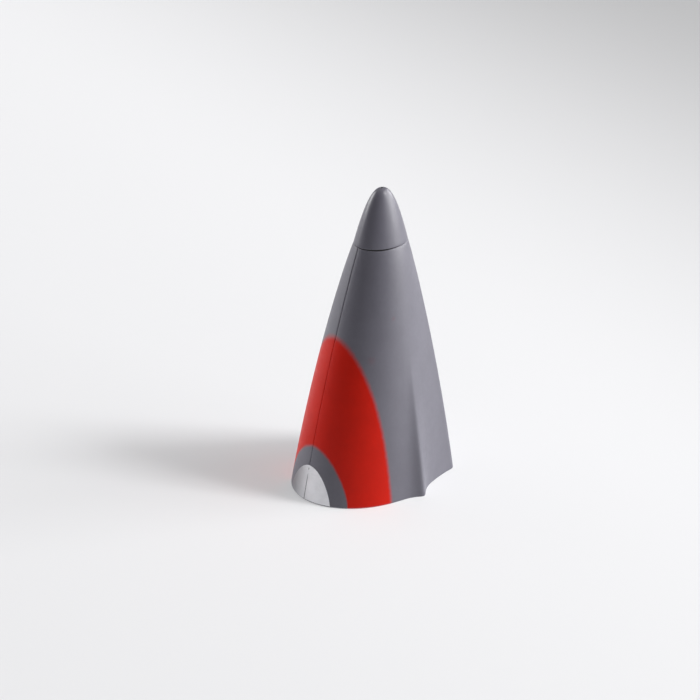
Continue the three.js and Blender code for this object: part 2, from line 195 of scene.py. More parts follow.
def half_section(height, inset=0.0, chine=True):
    """Right half of the section at a height as (up, across) points, spine to belly."""
    share = base_share(height)
    base = base_outline(inset)
    ring = ring_outline(len(base), RING_RISE - inset, RING_HALF - inset)
    points = []
    for i, ((base_up, base_across), (ring_up, ring_across)) in enumerate(zip(base, ring)):
        up_share = share if i < SPINE_STEPS else share ** BELLY_POWER
        up = ring_up + (base_up - ring_up) * up_share
        across = ring_across + (base_across - ring_across) * share ** WIDTH_POWER
        if chine:
            across += chine_bulge(up, height) * min(1.0, across / CHINE_ROOT)
        points.append((up, across))
    return points


def place(up, across, height):
    """A point in the row frame, in metres."""
    return Vector((across, AXIS_Y - up, height)) * MM


# -------------------- mesh helpers

def link(thing):
    bpy.context.scene.collection.objects.link(thing)


def build_mesh(name, points, faces, materials, slots=None):
    """A smooth piece. slots gives each face's place in the list of materials."""
    mesh = bpy.data.meshes.new(name)
    mesh.from_pydata([tuple(p) for p in points], [], faces)
    for material in materials:
        mesh.materials.append(material)
    if slots:
        mesh.polygons.foreach_set("material_index", slots)
    mesh.polygons.foreach_set("use_smooth", [True] * len(mesh.polygons))
    mesh.validate()
    mesh.update()
    piece = bpy.data.objects.new(name, mesh)
    link(piece)
    return piece


def apply_modifiers(piece):
    bpy.context.view_layer.update()
    depsgraph = bpy.context.evaluated_depsgraph_get()
    mesh = bpy.data.meshes.new_from_object(piece.evaluated_get(depsgraph))
    piece.modifiers.clear()
    piece.data = mesh


def sharpen(piece, degrees):
    """Edges that turn more than this stay sharp in the shading."""
    piece.data.set_sharp_from_angle(angle=math.radians(degrees))


def turn_outwards(piece, merge=False):
    """Makes every face of a closed piece point out, and first joins points in one place if asked."""
    shape = bmesh.new()
    shape.from_mesh(piece.data)
    if merge:
        bmesh.ops.remove_doubles(shape, verts=shape.verts, dist=MERGE_DISTANCE * MM)
    bmesh.ops.recalc_face_normals(shape, faces=shape.faces)
    shape.to_mesh(piece.data)
    shape.free()


def closed_piece(name, rows, material, capped=True, degrees=35):
    """A skin over closed rows of points, capped at its ends or joined from the last to the first."""
    columns = len(rows[0])
    last = (len(rows) - 1) * columns
    faces = grid_faces(len(rows), columns, closed=True)
    if capped:
        faces += [tuple(range(columns))[::-1], tuple(last + i for i in range(columns))]
    else:
        faces += [(last + i, last + (i + 1) % columns, (i + 1) % columns, i) for i in range(columns)]
    piece = build_mesh(name, [point for row in rows for point in row], faces, [material])
    turn_outwards(piece)
    sharpen(piece, degrees)
    return piece


def grid_faces(rows, columns, start=0, closed=False):
    """Quads between consecutive rows of points."""
    faces = []
    last = columns if closed else columns - 1
    for row in range(rows - 1):
        for column in range(last):
            a = start + row * columns + column
            b = start + row * columns + (column + 1) % columns
            faces.append((a, b, b + columns, a + columns))
    return faces


# -------------------- procedural materials

def new_material(name):
    material = bpy.data.materials.new(name)
    material.use_nodes = True
    tree = material.node_tree
    return material, tree, tree.nodes["Principled BSDF"]


def add_node(tree, kind, inputs=None, **settings):
    """A node; each input is a value or another node's output socket."""
    node = tree.nodes.new(kind)
    for key, value in settings.items():
        setattr(node, key, value)
    for key, value in (inputs or {}).items():
        if isinstance(value, bpy.types.NodeSocket):
            tree.links.new(value, node.inputs[key])
        else:
            node.inputs[key].default_value = value
    return node


def math_node(tree, operation, first, second=0.0, clamp=False):
    node = add_node(tree, "ShaderNodeMath", {0: first, 1: second}, operation=operation)
    node.use_clamp = clamp
    return node.outputs[0]


def mix_colour(tree, factor, first, second):
    node = add_node(tree, "ShaderNodeMix", {0: factor, 6: first, 7: second}, data_type="RGBA")
    return node.outputs[2]


def smooth_step(tree, value, low, high, out_low=0.0, out_high=1.0):
    """Runs smoothly from out_low to out_high as the value goes from low to high."""
    inputs = {"Value": value, "From Min": low, "From Max": high,
              "To Min": out_low, "To Max": out_high}
    node = add_node(tree, "ShaderNodeMapRange", inputs, interpolation_type="SMOOTHSTEP")
    return node.outputs[0]


def object_position(tree):
    """Position in the piece's own frame, in millimetres, as a vector and its three parts."""
    coordinates = add_node(tree, "ShaderNodeTexCoord")
    scaled = add_node(tree, "ShaderNodeVectorMath",
                      {0: coordinates.outputs["Object"], "Scale": 1 / MM}, operation="SCALE")
    parts = add_node(tree, "ShaderNodeSeparateXYZ", {0: scaled.outputs[0]})
    return scaled.outputs[0], parts.outputs[0], parts.outputs[1], parts.outputs[2]


def noise_node(tree, position, size, detail=2.0, roughness=0.5):
    """Noise whose blobs are about size millimetres across."""
    inputs = {"Vector": position, "Scale": 1 / size, "Detail": detail, "Roughness": roughness}
    return add_node(tree, "ShaderNodeTexNoise", inputs).outputs[0]


def cell_edges(tree, position, size):
    """Distance to the nearest edge between cells about size millimetres across."""
    inputs = {"Vector": position, "Scale": 1 / size}
    node = add_node(tree, "ShaderNodeTexVoronoi", inputs, feature="DISTANCE_TO_EDGE")
    return node.outputs["Distance"]


def set_surface(tree, shader, colour, roughness):
    tree.links.new(colour, shader.inputs["Base Color"])
    tree.links.new(roughness, shader.inputs["Roughness"])


def stretch(tree, position, shares):
    """The position with each part times its share, which draws patterns out."""
    inputs = {0: position, 1: shares}
    return add_node(tree, "ShaderNodeVectorMath", inputs, operation="MULTIPLY").outputs[0]


def add_bump(tree, shader, *layers):
    """Stacks bump layers, each (height socket, depth in millimetres)."""
    normal = None
    for height, depth in layers:
        inputs = {"Height": height, "Distance": depth * MM, "Strength": 1.0}
        if normal is not None:
            inputs["Normal"] = normal
        normal = add_node(tree, "ShaderNodeBump", inputs).outputs[0]
    tree.links.new(normal, shader.inputs["Normal"])


def vary(tree, colour, position, size, amount):
    """The colour, lighter and darker by this share in blobs of this size."""
    blobs = noise_node(tree, position, size, 3.0)
    value = smooth_step(tree, blobs, 0.25, 0.75, 1 - amount, 1 + amount)
    inputs = {"Value": value, "Color": colour}
    return add_node(tree, "ShaderNodeHueSaturation", inputs).outputs[0]


GREY_PAINT = (0.132, 0.128, 0.156, 1)
RED_PAINT = (0.56, 0.0085, 0.0008, 1)


def arch_height(tree, across, half, height, shoulder, bow):
    """Height of an arch's edge at a distance across, as in height (1 - (x / half)^shoulder)^bow."""
    ratio = math_node(tree, "DIVIDE", math_node(tree, "ABSOLUTE", across), half)
    filled = math_node(tree, "SUBTRACT", 1.0, math_node(tree, "POWER", ratio, shoulder), True)
    return math_node(tree, "MULTIPLY", math_node(tree, "POWER", filled, bow), height)


RED_ARCH = {"foot": 24.2, "lean": 10.9, "top": 97.8, "power": 2.53}
GREY_ARCH = {"half": 25.8, "height": 33.5, "shoulder": 2.0, "bow": 0.75}
MASK_OFFSET = 0.5         # the grey arch and the patch sit slightly to the right
MASK_LEAN = 0.03          # and lean further right with height
MASK_FRONT = (18.0, 20.0)     # the grey arch shows only above this, on the spine's side
SPRAY_EDGE = 1.7          # half the width of the arches' soft edges
OVERSPRAY = (0.20, 0.06, 0.07, 1)
# faint marks of overspray: (place, radius, strength)
SMUDGES = (((21.8, -14.4, 89.0), 4.0, 0.17),
           ((23.0, 1.5, 112.0), 2.0, 0.2))


def painted_foam():
    """Satin grey spray paint on smooth foam, with a red arch and a grey arch over the spine."""
    material, tree, shader = new_material("painted_foam")
    position, x, y, z = object_position(tree)
    up = math_node(tree, "SUBTRACT", AXIS_Y, y)
    wander = smooth_step(tree, noise_node(tree, position, 2.5), 0.3, 0.7, -0.15, 0.15)

    reach = math_node(tree, "DIVIDE", z, RED_ARCH["top"])
    lean = math_node(tree, "MULTIPLY",
                     math_node(tree, "POWER", reach, RED_ARCH["power"]), RED_ARCH["lean"])
    red_edge = math_node(tree, "SUBTRACT", up, math_node(tree, "ADD", lean, RED_ARCH["foot"]))
    red_edge = math_node(tree, "ADD", red_edge, wander)
    red = smooth_step(tree, red_edge, -SPRAY_EDGE, SPRAY_EDGE)

    lean = math_node(tree, "ADD", math_node(tree, "MULTIPLY", z, MASK_LEAN), MASK_OFFSET)
    leaning = math_node(tree, "SUBTRACT", x, lean)
    grey_edge = math_node(tree, "SUBTRACT", arch_height(tree, leaning, **GREY_ARCH), z)
    grey_edge = math_node(tree, "ADD", grey_edge, wander)
    inner = smooth_step(tree, grey_edge, -SPRAY_EDGE, SPRAY_EDGE)
    in_front = smooth_step(tree, up, *MASK_FRONT)
    inner = math_node(tree, "MULTIPLY", inner, in_front)
    red = math_node(tree, "MULTIPLY", red, math_node(tree, "SUBTRACT", 1.0, inner))

    colour = mix_colour(tree, red, GREY_PAINT, RED_PAINT)
    for place_on_side, radius, strength in SMUDGES:
        distance = add_node(tree, "ShaderNodeVectorMath", {0: position, 1: place_on_side},
                            operation="DISTANCE").outputs["Value"]
        ragged = math_node(tree, "ADD", distance, wander)
        smudge = smooth_step(tree, ragged, 0.0, radius, strength, 0.0)
        colour = mix_colour(tree, smudge, colour, OVERSPRAY)
    colour = vary(tree, colour, position, 14.0, 0.035)
    colour = vary(tree, colour, position, 2.2, 0.02)
    satin = smooth_step(tree, noise_node(tree, position, 6.0, 4.0), 0.3, 0.7, 0.40, 0.48)
    set_surface(tree, shader, colour, satin)
    gloss = smooth_step(tree, red, 0.0, 1.0, 0.5, 0.16)
    tree.links.new(gloss, shader.inputs["Specular IOR Level"])
    beads = noise_node(tree, position, 3.0, 1.0)
    peel = noise_node(tree, position, 0.7, 2.0)
    add_bump(tree, shader, (beads, 0.02), (peel, 0.006))
    return material


def raw_foam():
    """Unpainted bead foam on the inside and on the cut faces."""
    material, tree, shader = new_material("raw_foam")
    position, _, _, _ = object_position(tree)
    beads = cell_edges(tree, position, 2.6)
    seams = smooth_step(tree, beads, 0.0, 0.16)
    colour = mix_colour(tree, seams, (0.65, 0.65, 0.66, 1), (0.74, 0.74, 0.74, 1))
    set_surface(tree, shader, vary(tree, colour, position, 8.0, 0.04),
                smooth_step(tree, seams, 0.0, 1.0, 0.8, 0.55))
    add_bump(tree, shader, (seams, 0.07), (noise_node(tree, position, 0.5), 0.02))
    return material


def glue_and_painted_shade():
    """Near-black glue and dust, with painted shade: it darkens the joint faces, where the glue line
    is dark and the narrow gap is shaded, and the shells' end face in the ring groove, where the
    darkness is painted shade.
    """
    material, tree, shader = new_material("glue_and_painted_shade")
    position, _, _, _ = object_position(tree)
    dust = smooth_step(tree, noise_node(tree, position, 1.5, 3.0), 0.3, 0.8)
    # painted shade: near-black colour standing in for the shade in the ring groove and in the joint's
    # gap
    colour = mix_colour(tree, dust, (0.012, 0.011, 0.012, 1), (0.05, 0.045, 0.045, 1))
    set_surface(tree, shader, colour, smooth_step(tree, dust, 0.0, 1.0, 0.75, 0.95))
    shader.inputs["Specular IOR Level"].default_value = 0.1
    add_bump(tree, shader, (noise_node(tree, position, 0.6), 0.03))
    return material


GATE_FADE = (0.75, 1.15)      # the gate mark's dark spot fades out between these radii
GATE_REACH = (3.0, 2.0)       # and between these distances below the end


def moulded_tip():
    """Hard grey plastic, a little glossier than the paint, dark where it was cut from its sprue."""
    material, tree, shader = new_material("moulded_tip")
    position, x, y, z = object_position(tree)
    colour = vary(tree, GREY_PAINT, position, 9.0, 0.03)
    from_axis = math_node(tree, "SUBTRACT", y, AXIS_Y)
    square = math_node(tree, "ADD", math_node(tree, "MULTIPLY", x, x),
                       math_node(tree, "MULTIPLY", from_axis, from_axis))
    near = smooth_step(tree, math_node(tree, "SQRT", square), *GATE_FADE, 1.0, 0.0)
    at_end = smooth_step(tree, z, LENGTH - GATE_REACH[0], LENGTH - GATE_REACH[1])
    gate = math_node(tree, "MULTIPLY", near, at_end)
    colour = mix_colour(tree, gate, colour, (0.02, 0.02, 0.022, 1))
    satin = smooth_step(tree, noise_node(tree, position, 5.0, 4.0), 0.3, 0.7, 0.33, 0.39)
    set_surface(tree, shader, colour, satin)
    add_bump(tree, shader, (noise_node(tree, position, 0.6, 2.0), 0.006))
    return material


FOIL_PAINTED_SHADE = (-18.0, 8.0)     # painted shade, for the floor's shadow it reflects: the foil gets brighter from left to right between these
FOIL_CREASED = (13.0, 19.0)   # and more creased upwards between these heights


def silver_foil():
    """Satin silver foil, creased near its top, with painted shade that darkens its left, where it
    reflects the floor's shadow.
    """
    material, tree, shader = new_material("silver_foil")
    position, x, _, z = object_position(tree)
    # painted shade: the foil's colour darkens towards its left
    foil_shade_ramp = smooth_step(tree, x, *FOIL_PAINTED_SHADE)
    colour = mix_colour(tree, foil_shade_ramp, (0.22, 0.22, 0.24, 1), (0.80, 0.80, 0.83, 1))
    colour = vary(tree, colour, position, 5.0, 0.04)
    shader.inputs["Metallic"].default_value = 0.8
    satin = smooth_step(tree, noise_node(tree, position, 3.0, 4.0), 0.3, 0.7, 0.34, 0.42)
    set_surface(tree, shader, colour, satin)
    creases = noise_node(tree, position, 1.4, 5.0, 0.7)
    near_top = smooth_step(tree, z, *FOIL_CREASED, 0.1, 1.0)
    add_bump(tree, shader, (math_node(tree, "MULTIPLY", creases, near_top), 0.6),
             (noise_node(tree, position, 0.4), 0.01))
    return material


PLY_THICKNESS = 0.8       # of one layer of the plywood


def birch_plywood():
    """Birch ply: long grain on the faces and alternating dark layers on the edges."""
    material, tree, shader = new_material("birch_plywood")
    position, _, _, z = object_position(tree)
    stretched = stretch(tree, position, (0.12, 1.0, 0.12))
    grain = noise_node(tree, stretched, 1.3, 5.0, 0.6)
    rings = noise_node(tree, stretched, 6.0, 2.0)
    light = mix_colour(tree, smooth_step(tree, grain, 0.35, 0.7), (0.66, 0.49, 0.30, 1),
                       (0.52, 0.36, 0.20, 1))
    light = mix_colour(tree, smooth_step(tree, rings, 0.4, 0.7, 0.0, 0.5), light,
                       (0.72, 0.56, 0.37, 1))
    layer = math_node(tree, "PINGPONG", z, PLY_THICKNESS)
    dark_layer = smooth_step(tree, layer, 0.45 * PLY_THICKNESS, 0.55 * PLY_THICKNESS)
    geometry = add_node(tree, "ShaderNodeNewGeometry")
    normal = add_node(tree, "ShaderNodeSeparateXYZ", {0: geometry.outputs["True Normal"]})
    flatness = math_node(tree, "ABSOLUTE", normal.outputs[2])
    edge = smooth_step(tree, flatness, 0.3, 0.7, 1.0, 0.0)
    colour = mix_colour(tree, math_node(tree, "MULTIPLY", dark_layer, edge), light,
                        (0.27, 0.16, 0.08, 1))
    set_surface(tree, shader, colour, smooth_step(tree, grain, 0.3, 0.7, 0.55, 0.75))
    add_bump(tree, shader, (grain, 0.05))
    return material


def plain_material(name, colour, metallic, roughness, blotch, scratch_depth):
    """Metal or plastic with blotches of colour, uneven gloss and fine scratches."""
    material, tree, shader = new_material(name)
    position, _, _, _ = object_position(tree)
    shader.inputs["Metallic"].default_value = metallic
    uneven = noise_node(tree, position, 1.2, 4.0)
    set_surface(tree, shader, vary(tree, colour, position, 1.8, blotch),
                smooth_step(tree, uneven, 0.3, 0.7, *roughness))
    scratches = noise_node(tree, stretch(tree, position, (1.0, 0.08, 0.4)), 0.12, 2.0)
    add_bump(tree, shader, (scratches, scratch_depth), (uneven, scratch_depth))
    return material


# -------------------- foam halves

SEAM_STEPS = (0.0, 0.1, 0.25, 0.5, 0.9)     # columns beside the joint line
SEAM_DEPTH = 0.3
SEAM_FALLOFF = 0.15
SEAM_GAP = 0.085          # half the mean width of the joint line at the surface
JOINT_GAP = 0.02          # half the gap inside, where the halves are glued
SEAM_WANDER = 0.09
SEAM_WAVES = (0.9, 2.7)   # how fast it wanders with height, coarsely and finely
SEAM_TIGHT = 0.4          # share of the gap that is left under the red
BELLY_PHASE = 9.0         # makes the belly's joint line wander in its own way
INNER_CHAMFER = 0.3       # on the edges of the base's seat and of the mouth
SEAT_CLEARANCE = 0.6      # room in front of the rear former
BASE_EDGE = 1.0           # radius of the base's outer edge
RING_EDGE = 0.3           # radius of the edges on both sides of the ring groove
GROOVE_NARROW = 0.06      # height of the ring groove where the tip nearly touches the foam
GROOVE_WIDE = 0.85        # and where it stands off most
GROOVE_FRONT = 42         # degrees from the spine to where it stands off most
GROOVE_SPREAD = 42        # degrees over which it closes up again
GROOVE_BLEND = 20.0       # the shells' rim is lifted or lowered over this height


def rounded_edge(radius, steps=5):
    """(height, inset) pairs up a quarter circle, from the flat end to the straight side."""
    angles = [math.pi / 2 * i / steps for i in range(steps + 1)]
    return [(radius * (1 - math.cos(a)), radius * (1 - math.sin(a))) for a in angles]


def groove_shift(angle):
    """How far the shells' rim lies above its mean height, at an angle round from the spine."""
    turn = (math.degrees(angle) - GROOVE_FRONT + 180) % 360 - 180
    swell = math.exp(-(turn / GROOVE_SPREAD) ** 2)
    return GROOVE - GROOVE_NARROW - (GROOVE_WIDE - GROOVE_NARROW) * swell


def at_across(half, across):
    """The (up, across) point of a half section's first stretch at this distance across."""
    for (low_up, low), (high_up, high) in zip(half, half[1:]):
        if high >= across:
            return low_up + (high_up - low_up) * (across - low) / (high - low)
    return half[-1][0]


def seam_half_gap(height, phase):
    """Half the width of the joint line. It wanders with height and is tighter under the red."""
    jitter = noise.noise(Vector((height * SEAM_WAVES[0], phase, 0.0)))
    fine = noise.noise(Vector((height * SEAM_WAVES[1], phase, 5.0)))
    tight = SEAM_TIGHT if height < RED_ARCH["top"] else 1.0
    return max(JOINT_GAP, tight * (SEAM_GAP + SEAM_WANDER * (jitter + 0.5 * fine)))


def shell_columns(half, height, outside):
    """Points of one half's row, from the spine's joint face round to the belly's."""
    def beside_seam(points, inward, phase):
        gap = seam_half_gap(height, phase) if outside else JOINT_GAP
        row = []
        for step in SEAM_STEPS:
            dip = SEAM_DEPTH * math.exp(-step / SEAM_FALLOFF) if outside else 0.0
            row.append((at_across(points, gap + step) + inward * dip, gap + step))
        return row
    spine = beside_seam(half, -1, 0.0)
    belly = beside_seam(half[::-1], 1, BELLY_PHASE)
    return spine + half[2:-2] + belly[::-1]


def outer_rows():
    """(height, section) pairs up the outside, with rounded edges at the base and the ring."""
    top = RING_HEIGHT - GROOVE / 2
    steps = 110
    heights = rounded_edge(BASE_EDGE)
    low = heights[-1][0]
    span = top - low - RING_EDGE
    heights += [(low + span * i / steps, 0.0) for i in range(1, steps)]
    heights += [(top - height, inset) for height, inset in rounded_edge(RING_EDGE)[::-1]]
    return [(height, half_section(height, inset)) for height, inset in heights]


def shifted_place(up, across, height, side):
    """As place(), with the rim of the shells lifted or lowered to make the groove uneven."""
    share = max(0.0, 1 - (RING_HEIGHT - height) / GROOVE_BLEND)
    angle = math.atan2(side * across, up - RING_UP)
    lift = groove_shift(angle) * share * share
    lean = spine_fall(height + 1) - spine_fall(height)
    from_ring = math.hypot(up - RING_UP, across)
    narrowing = 1 - lift * lean / max(from_ring, 1.0)
    up = RING_UP + (up - RING_UP) * narrowing
    return place(up, side * max(across * narrowing, JOINT_GAP), height + lift)


def inner_rows():
    """(height, section) pairs up the inside: former seat, cavity, then the mouth for the socket."""
    ledge = FORMER_TOP + SEAT_CLEARANCE
    rows = [(0.0, RIM_WALL - INNER_CHAMFER), (INNER_CHAMFER, RIM_WALL), (ledge, RIM_WALL),
            (ledge, WALL)]
    steps = 12
    rows += [(ledge + (CAVITY_TOP - ledge) * i / steps, WALL) for i in range(1, steps + 1)]
    sections = [(height, half_section(height, inset, False)) for height, inset in rows]
    count = len(sections[0][1])
    top = RING_HEIGHT - GROOVE / 2
    mouth = ring_outline(count, MOUTH_RISE, MOUTH_HALF)
    flared = ring_outline(count, MOUTH_RISE + INNER_CHAMFER, MOUTH_HALF + INNER_CHAMFER)
    return sections + [(CAVITY_TOP, mouth), (top - INNER_CHAMFER, mouth), (top, flared)]


def build_shell(name, side, paint, foam, shade_and_glue):
    """One half: its outside, its inside, and the faces that join the two. side is -1 on the left."""
    outer = [(h, shell_columns(half, h, True)) for h, half in outer_rows()]
    inner = [(h, shell_columns(half, h, False)) for h, half in inner_rows()]
    columns = len(outer[0][1])
    points = [shifted_place(up, across, h, side) for h, row in outer + inner for up, across in row]
    inner_start = len(outer) * columns
    faces = grid_faces(len(outer), columns)
    slots = [0] * len(faces)
    for a, b, c, d in grid_faces(len(inner), columns, inner_start):
        faces.append((d, c, b, a))
        slots.append(1)
    last_outer = inner_start - columns
    last_inner = inner_start + (len(inner) - 1) * columns
    # the ring faces at the base get raw foam; the end faces in the ring groove get painted shade
    for i in range(columns - 1):
        faces.append((i + 1, i, inner_start + i, inner_start + i + 1))
        faces.append((last_outer + i, last_outer + i + 1, last_inner + i + 1, last_inner + i))
        slots += [1, 2]
    # the joint faces get the dark glue line, with painted shade for the narrow gap
    for edge in (0, columns - 1):
        outside = [row * columns + edge for row in range(len(outer))]
        inside = [inner_start + row * columns + edge for row in range(len(inner))]
        loop = outside + inside[::-1]
        faces.append(tuple(loop if edge == 0 else loop[::-1]))
        slots.append(2)
    if side < 0:
        faces = [face[::-1] for face in faces]
    piece = build_mesh(name, points, faces, [paint, foam, shade_and_glue], slots)
    sharpen(piece, 50)
    return piece


# -------------------- moulded tip

TIP_SIDES = 96
DIMPLE = ((0.95, 0.0), (0.8, 0.12), (0.65, 0.45), (0.0, 0.6))   # (radius, depth) of the gate mark
TIP_FLAT = 0.12           # the gate mark's rim lies this far below the end of the cone
AXIS_RADIUS = 0.05        # shapes that end on their axis stop at this radius
ROOF_CENTRE = (0.4, 0.2)  # the same for the hollow's roof
LEAD_IN = {"inward": 0.5, "up": 0.8}
SHOULDER_ROOM = 1.0       # the cone's rows start this far above the shoulder
RIM_ROOM = 0.2            # and end this far outside the gate mark


def ellipse_row(up, rise, half, height):
    row = []
    for i in range(TIP_SIDES):
        angle = 2 * math.pi * i / TIP_SIDES
        row.append(place(up + rise * math.cos(angle), half * math.sin(angle), height))
    return row


def tip_section(share):
    """(up, rise, half) of the tip's outside at a share of its height."""
    scale = (1 - share) ** TIP_POWER * (1 - TIP_THINNING * share)
    return RING_UP * (1 - share), RING_RISE * scale, RING_HALF * scale


def build_tip(plastic):
    """Hollow spigot, shoulder, ogive and gate mark in one skin, from the hollow's roof outwards."""
    bottom = RING_HEIGHT + GROOVE / 2
    hollow = (RING_UP, SPIGOT_RISE - SPIGOT_WALL, SPIGOT_HALF - SPIGOT_WALL)
    spigot = (RING_UP, SPIGOT_RISE, SPIGOT_HALF)
    lead_in = (RING_UP, SPIGOT_RISE - LEAD_IN["inward"], SPIGOT_HALF - LEAD_IN["inward"])
    rows = [ellipse_row(RING_UP, *ROOF_CENTRE, TIP_HOLLOW_TOP)]
    rows += [ellipse_row(*hollow, TIP_HOLLOW_TOP)]
    rows += [ellipse_row(*hollow, SPIGOT_BOTTOM), ellipse_row(*lead_in, SPIGOT_BOTTOM)]
    rows += [ellipse_row(*spigot, SPIGOT_BOTTOM + LEAD_IN["up"]), ellipse_row(*spigot, bottom)]
    for height, inset in rounded_edge(RING_EDGE):
        up, rise, half = tip_section(height / (LENGTH - bottom))
        rows.append(ellipse_row(up, rise - inset, half - inset, bottom + height))
    steps = 40
    rim_radius = DIMPLE[0][0]
    for i in range(1, steps):
        share = 1 - math.cos(math.pi / 2 * i / steps) ** (1 / TIP_POWER)
        up, rise, half = tip_section(share)
        height = bottom + share * (LENGTH - bottom)
        if height > bottom + SHOULDER_ROOM and half > rim_radius + RIM_ROOM:
            rows.append(ellipse_row(up, rise, half, height))
    rows += [ellipse_row(0.0, radius, radius, LENGTH - TIP_FLAT - depth)
             for radius, depth in DIMPLE[:-1]]
    rows.append(ellipse_row(0.0, AXIS_RADIUS, AXIS_RADIUS, LENGTH - TIP_FLAT - DIMPLE[-1][1]))
    return closed_piece("tip_moulding", rows, plastic, degrees=40)


# -------------------- foil patch

PATCH = {"half": 18.1, "height": 21.6, "shoulder": 1.97, "bow": 0.8}
PATCH_LEAN = 0.055        # how far it leans right with height
PATCH_BOTTOM = 0.8
PATCH_EDGE_SHARE = 0.998  # the arch's feet are cut off at this share of its half width
PATCH_FLAT = 0.4          # the foil lies flat this near the joint line
PATCH_LIFT = 0.03
PATCH_THICKNESS = 0.04
SLIT_TOP = 16.8
SLIT_HALF = 0.24
SLIT_TAPER = 4.0          # it closes up over this height
TEAR_HEIGHT = 19.4        # a small tear in the foil over the joint line
TEAR_HALF = 0.3
TEAR_REACH = 0.8


def spine_surface(height, across):
    """How far up the spine's surface is at a distance across."""
    return at_across(half_section(height), abs(across))


def patch_edge(across):
    ratio = abs(across) / PATCH["half"]
    return PATCH["height"] * max(0.0, 1 - ratio ** PATCH["shoulder"]) ** PATCH["bow"]


def slit_half(height):
    """Half width of the opening along the joint line: a long slit, and a tear above it."""
    slit = SLIT_HALF * min(1.0, max(0.0, (SLIT_TOP - height) / SLIT_TAPER)) ** 0.5
    tear = TEAR_HALF * max(0.0, 1 - ((height - TEAR_HEIGHT) / TEAR_REACH) ** 2)
    return slit + tear


def build_patch(foil):
    """Thin foil over the spine's foot. It splits along the joint line near the base."""
    columns, rows = 30, 48
    points, faces, index = [], [], {}

    def vertex(side, column, row):
        spread = math.sin(math.pi / 2 * column / columns)
        outer = PATCH["half"] * PATCH_EDGE_SHARE * spread
        height = PATCH_BOTTOM + (patch_edge(outer) - PATCH_BOTTOM) * row / rows
        lean = PATCH_LEAN * height * (1 - math.exp(-outer))
        across = side * outer + lean
        if column == 0:
            across = side * slit_half(height)
        key = (side if across else 0, column, row)
        if key not in index:
            up = spine_surface(height, max(abs(across), PATCH_FLAT)) + PATCH_LIFT
            index[key] = len(points)
            points.append(place(up, across, height))
        return index[key]

    for side in (-1, 1):
        for column in range(columns - 1):
            for row in range(rows):
                face = (vertex(side, column, row), vertex(side, column + 1, row),
                        vertex(side, column + 1, row + 1), vertex(side, column, row + 1))
                faces.append(face if side > 0 else face[::-1])
    piece = build_mesh("foil_patch", points, faces, [foil])
    thickness = piece.modifiers.new("thickness", "SOLIDIFY")
    thickness.thickness = PATCH_THICKNESS * MM
    thickness.offset = 1.0
    apply_modifiers(piece)
    sharpen(piece, 40)
    return piece


# -------------------- hardware behind the base

FORMER_BOTTOM = 3.9
FORMER_EDGE = 0.25        # rounding of the plywood's edges
HATCH = {"up": 12.0, "half": 20.0, "rise": 28.0}
MAGNET_PLACES = {"spine_left": (-20, 36), "spine_right": (20, 36),
                 "belly_left": (-18, -22), "belly_right": (18, -22)}
MAGNET_BOTTOM = 0.6
MAGNET_TOP = 3.6
MAGNET_RADIUS = 5.0
SCREW_RADIUS = 1.5
SCREW_HEAD = 2.9
SCREW_FACE = 0.7
SCREW_RIM = ((0.45, SCREW_FACE), (0.22, 0.8), (0.2, 0.95))   # (inset from the head's radius, height)
SCREW_TIP = 8.7
SCREW_POINT = 1.5
SCREW_THREAD = {"pitch": 0.6, "depth": 0.18}
SCREW_RUNOUT = {"head": 0.4, "tip": 1.6}      # the shank has no thread this near its ends
BOLT_THREAD = {"pitch": 0.7, "depth": 0.2}
BOLT_RUNOUT = {"head": 1.0, "tip": 0.8}
BOLT_CHAMFER = {"up": 0.5, "inward": 0.4}
SLOT_WIDTH = 0.7
SLOT_DEPTH = 0.7
BUSH_PLACES = {"left": (-26.3, 5), "right": (26.3, 5)}
BUSH_BORE = 3.3
BUSH_RADIUS = 4.5
BUSH_FLANGE = 5.6
BUSH_FLANGE_THICKNESS = 1.2
GAP = 0.3
FRONT_FORMER = (92.0, 95.0)
BALLAST_UP = 6.0
BALLAST_RADIUS = 11.0
BALLAST_LEVELS = ((95.3, 100.3), (100.6, 105.6), (105.9, 110.9))
BOLT_RADIUS = 2.0
HEX_ACROSS = 7.0
BOLT_HEAD = (87.8, 90.6)
BOLT_END = 115.9
WASHER = (4.5, 90.9, 91.7)
NUT = (111.2, 114.4)
SOCKET = (135.0, 151.15)
SOCKET_BORE = (10.5, 6.9)
SOCKET_WALL = 1.5
DOWEL_RADIUS = 1.5
DOWEL_LENGTH = 12.0
TURNED_SIDES = 64
HOLE_SIDES = {"hatch": 96, "screw": 32, "bush": 48, "bolt": 40}


def circle(radius, sides, across, up, start=0.0):
    """(up, across) points round a circle."""
    angles = [start + 2 * math.pi * i / sides for i in range(sides)]
    return [(up + radius * math.cos(a), across + radius * math.sin(a)) for a in angles]


def softened(profile, radius=0.2, steps=3):
    """A closed profile of (radius, height) corners with every corner rounded."""
    rounded = []
    for i, corner in enumerate(profile):
        before, after = Vector(profile[i - 1]), Vector(profile[(i + 1) % len(profile)])
        corner = Vector(corner)
        into, out = before - corner, after - corner
        reach = min(radius, into.length / 2.5, out.length / 2.5)
        start, end = corner + into.normalized() * reach, corner + out.normalized() * reach
        for k in range(steps + 1):
            t = k / steps
            rounded.append(tuple((1 - t) ** 2 * start + 2 * t * (1 - t) * corner + t * t * end))
    return rounded


def turned(name, profile, across, up, material, bored=True):
    """A piece turned about a vertical axis. A bored profile is closed, any other ends on the axis."""
    rows = []
    for radius, height in profile:
        ring = circle(radius, TURNED_SIDES, across, up)
        rows.append([place(u, a, height) for u, a in ring])
    return closed_piece(name, rows, material, capped=not bored)


